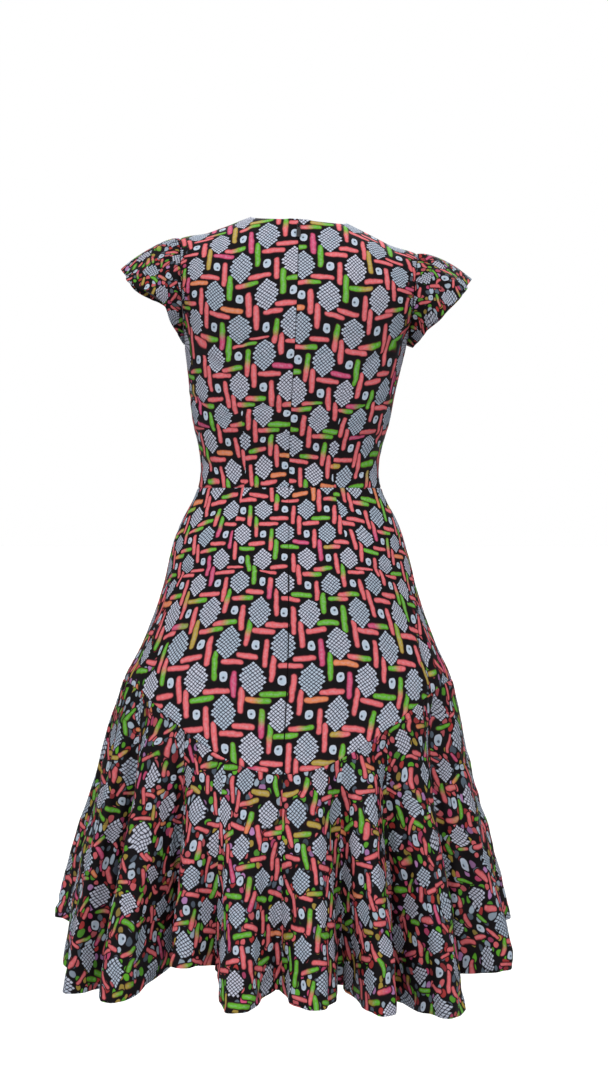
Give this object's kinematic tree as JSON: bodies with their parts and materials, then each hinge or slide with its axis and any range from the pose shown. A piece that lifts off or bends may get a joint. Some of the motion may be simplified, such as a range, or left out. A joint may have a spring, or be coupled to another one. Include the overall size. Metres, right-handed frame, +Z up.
{
  "type": "ankara wax print dress",
  "caption": "Worn knee-length woven dress, hollow, with flutter sleeves, a waist seam, a fitted flared skirt, a deep circular flounce and a concealed back zip.",
  "frame": {"origin": "midway between the two side neck points, where the shoulders carry the dress", "axes": "+Z up, +Y towards the back of the dress (the side with the zip), +X towards the wearer's left"},
  "size_m": [0.6524, 0.4809, 1.0786],
  "materials": {
    "printed_cotton": "black cotton wax print with a basket-weave of coral, green and gold bars and pale diamonds, soft matt with a slight wax sheen",
    "zip_tape": "black woven tape",
    "zip_metal": "black lacquer"
  },
  "bodies": {
    "dress": {"bodice_back_left": "printed_cotton", "bodice_back_right": "printed_cotton", "bodice_front": "printed_cotton", "sleeve_left": "printed_cotton", "sleeve_right": "printed_cotton", "skirt_back_left": "printed_cotton", "skirt_back_right": "printed_cotton", "skirt_front": "printed_cotton", "flounce_back_left": "printed_cotton", "flounce_back_right": "printed_cotton", "flounce_front": "printed_cotton", "zip_tape_left": "zip_tape", "zip_tape_right": "zip_tape", "zip_slider": "zip_metal"},
    "pull_tab": {"zip_pull": "zip_metal"}
  },
  "joints": [
    {"name": "pull_tab_swing", "type": "hinge", "parent": "dress", "child": "pull_tab", "pos_m": [0.00026, 0.06693, -0.02054], "axis": [1, 0, 0], "range_deg": [0, 150]}
  ]
}
